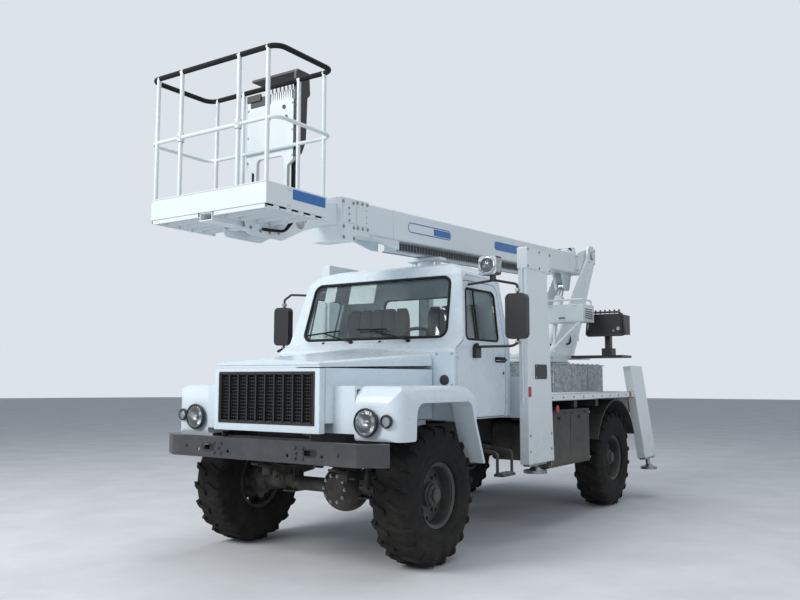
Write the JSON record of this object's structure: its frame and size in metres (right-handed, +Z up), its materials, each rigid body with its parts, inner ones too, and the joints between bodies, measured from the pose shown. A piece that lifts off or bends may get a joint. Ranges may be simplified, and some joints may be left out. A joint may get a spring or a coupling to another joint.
{
  "type": "cherry picker truck",
  "caption": "Bonneted off-road truck with a slewing turret, a telescopic boom lying forward over the cab and a work basket, on flat upright front and slanted rear outriggers.",
  "frame": {"origin": "on the ground under the middle of the truck's box, wheels straight and boom down", "axes": "+X to the driver's side, which is the truck's left, +Y to the rear, +Z up"},
  "size_m": [2.79, 6.9649, 3.754],
  "materials": {
    "cab_paint": "gloss",
    "chassis_paint": "satin",
    "bumper_paint": "satin",
    "tyre": "matte",
    "wheel_steel": "satin",
    "window_glass": "gloss",
    "lamp_glass": "gloss",
    "tail_red": "gloss",
    "seat_fabric": "matte",
    "dash_plastic": "matte",
    "lift_paint": "gloss",
    "leg_steel": "satin",
    "deck_aluminium": "satin",
    "rod_chrome": "polished"
  },
  "bodies": {
    "chassis": {"frame_rails": "chassis_paint", "front_bumper": "bumper_paint", "axles": "chassis_paint", "leaf_springs": "chassis_paint", "engine": "chassis_paint", "drive_line": "chassis_paint", "side_tanks": "chassis_paint", "cab_shell": "cab_paint", "cab_glass": "window_glass", "cab_seats": "seat_fabric", "dashboard": "dash_plastic", "front_wings": "cab_paint", "nose_panel": "cab_paint", "grille": "chassis_paint", "lamps": "lamp_glass", "cab_steps": "chassis_paint", "subframe": "chassis_paint", "boom_rest": "lift_paint", "deck": "deck_aluminium", "front_outriggers": "lift_paint", "rear_outriggers": "lift_paint", "side_boxes": "chassis_paint", "rear_mudguards": "chassis_paint", "tail_lamps": "tail_red", "pedestal": "leg_steel"},
    "hood": {"hood": "cab_paint"},
    "door_left": {"door_left": "cab_paint", "door_glass_left": "window_glass", "mirror_left": "chassis_paint"},
    "door_right": {"door_right": "cab_paint", "door_glass_right": "window_glass", "mirror_right": "chassis_paint"},
    "knuckle_left": {"knuckle_left": "chassis_paint"},
    "knuckle_right": {"knuckle_right": "chassis_paint"},
    "wheel_front_left": {"tyre_front_left": "tyre", "rim_front_left": "wheel_steel"},
    "wheel_front_right": {"tyre_front_right": "tyre", "rim_front_right": "wheel_steel"},
    "wheel_rear_left": {"tyre_rear_left": "tyre", "rim_rear_left": "wheel_steel"},
    "wheel_rear_right": {"tyre_rear_right": "tyre", "rim_rear_right": "wheel_steel"},
    "front_leg_left": {"front_leg_left": "leg_steel"},
    "front_leg_right": {"front_leg_right": "leg_steel"},
    "rear_leg_left": {"rear_leg_left": "leg_steel"},
    "rear_leg_right": {"rear_leg_right": "leg_steel"},
    "turret": {"turret_frame": "lift_paint", "turret_box": "lift_paint", "control_console": "dash_plastic"},
    "lift_barrel": {"lift_barrel": "lift_paint"},
    "lift_rod": {"lift_rod": "rod_chrome"},
    "boom_outer": {"boom_outer": "lift_paint"},
    "boom_middle": {"boom_middle": "lift_paint"},
    "boom_inner": {"boom_inner": "lift_paint"},
    "basket": {"basket_bracket": "lift_paint", "basket_floor": "deck_aluminium", "basket_rails": "lift_paint", "control_stand": "lift_paint"},
    "gate_bar": {"gate_bar": "lift_paint"}
  },
  "joints": [
    {"name": "steer_left", "type": "hinge", "parent": "chassis", "child": "knuckle_left", "pos_m": [0.76, -2.0475, 0.525], "axis": [0, 0, 1], "range_deg": [-28, 28]},
    {"name": "steer_right", "type": "hinge", "parent": "chassis", "child": "knuckle_right", "pos_m": [-0.76, -2.0475, 0.525], "axis": [0, 0, 1], "range_deg": [-28, 28]},
    {"name": "roll_front_left", "type": "hinge", "parent": "knuckle_left", "child": "wheel_front_left", "pos_m": [0.91, -2.0475, 0.525], "axis": [1, 0, 0], "continuous": true},
    {"name": "roll_front_right", "type": "hinge", "parent": "knuckle_right", "child": "wheel_front_right", "pos_m": [-0.91, -2.0475, 0.525], "axis": [1, 0, 0], "continuous": true},
    {"name": "roll_rear_left", "type": "hinge", "parent": "chassis", "child": "wheel_rear_left", "pos_m": [0.91, 1.7225, 0.525], "axis": [1, 0, 0], "continuous": true},
    {"name": "roll_rear_right", "type": "hinge", "parent": "chassis", "child": "wheel_rear_right", "pos_m": [-0.91, 1.7225, 0.525], "axis": [1, 0, 0], "continuous": true},
    {"name": "hood_hinge", "type": "hinge", "parent": "chassis", "child": "hood", "pos_m": [0, -1.6635, 1.64], "axis": [-1, 0, 0], "range_deg": [0, 38]},
    {"name": "door_left_hinge", "type": "hinge", "parent": "chassis", "child": "door_left", "pos_m": [0.96, -1.6045, 1.435], "axis": [0, 0, -1], "range_deg": [0, 65]},
    {"name": "door_right_hinge", "type": "hinge", "parent": "chassis", "child": "door_right", "pos_m": [-0.96, -1.6045, 1.435], "axis": [0, 0, 1], "range_deg": [0, 65]},
    {"name": "front_leg_left_slide", "type": "slide", "parent": "chassis", "child": "front_leg_left", "axis": [0, 0, -1], "range_m": [0, 0.555]},
    {"name": "front_leg_right_slide", "type": "slide", "parent": "chassis", "child": "front_leg_right", "axis": [0, 0, -1], "range_m": [0, 0.555]},
    {"name": "rear_leg_left_slide", "type": "slide", "parent": "chassis", "child": "rear_leg_left", "axis": [0.1392, 0, -0.9903], "range_m": [0, 0.336]},
    {"name": "rear_leg_right_slide", "type": "slide", "parent": "chassis", "child": "rear_leg_right", "axis": [-0.1392, 0, -0.9903], "range_m": [0, 0.336]},
    {"name": "turret_slew", "type": "hinge", "parent": "chassis", "child": "turret", "pos_m": [0, 1.7525, 1.604], "axis": [0, 0, 1], "range_deg": [-180, 180]},
    {"name": "boom_lift", "type": "hinge", "parent": "turret", "child": "boom_outer", "pos_m": [0, 3.3525, 3.09], "axis": [-1, 0, 0], "range_deg": [0, 70]},
    {"name": "lift_barrel_pivot", "type": "hinge", "parent": "turret", "child": "lift_barrel", "pos_m": [0, 2.3025, 1.789], "axis": [1, 0, 0], "range_deg": [0, 20]},
    {"name": "lift_rod_slide", "type": "slide", "parent": "lift_barrel", "child": "lift_rod", "axis": [0, 0.5159, 0.8566], "range_m": [0, 0.75]},
    {"name": "boom_middle_slide", "type": "slide", "parent": "boom_outer", "child": "boom_middle", "axis": [0, -0.9994, -0.0349], "range_m": [0, 4.2]},
    {"name": "boom_inner_slide", "type": "slide", "parent": "boom_middle", "child": "boom_inner", "axis": [0, -0.9994, -0.0349], "range_m": [0, 4.2]},
    {"name": "basket_level", "type": "hinge", "parent": "boom_inner", "child": "basket", "pos_m": [0, -2.6075, 2.605], "axis": [1, 0, 0], "range_deg": [0, 70]},
    {"name": "gate_slide", "type": "slide", "parent": "basket", "child": "gate_bar", "axis": [0, 0, 1], "range_m": [0, 0.4]}
  ],
  "couplings": [
    {"joint": "steer_right", "follows": "steer_left", "ratio": 1},
    {"joint": "lift_barrel_pivot", "follows": "boom_lift", "ratio": 0.23543},
    {"joint": "lift_rod_slide", "follows": "boom_lift", "m_per_rad": 0.59705},
    {"joint": "basket_level", "follows": "boom_lift", "ratio": 1},
    {"joint": "boom_inner_slide", "follows": "boom_middle_slide", "ratio": 1}
  ]
}
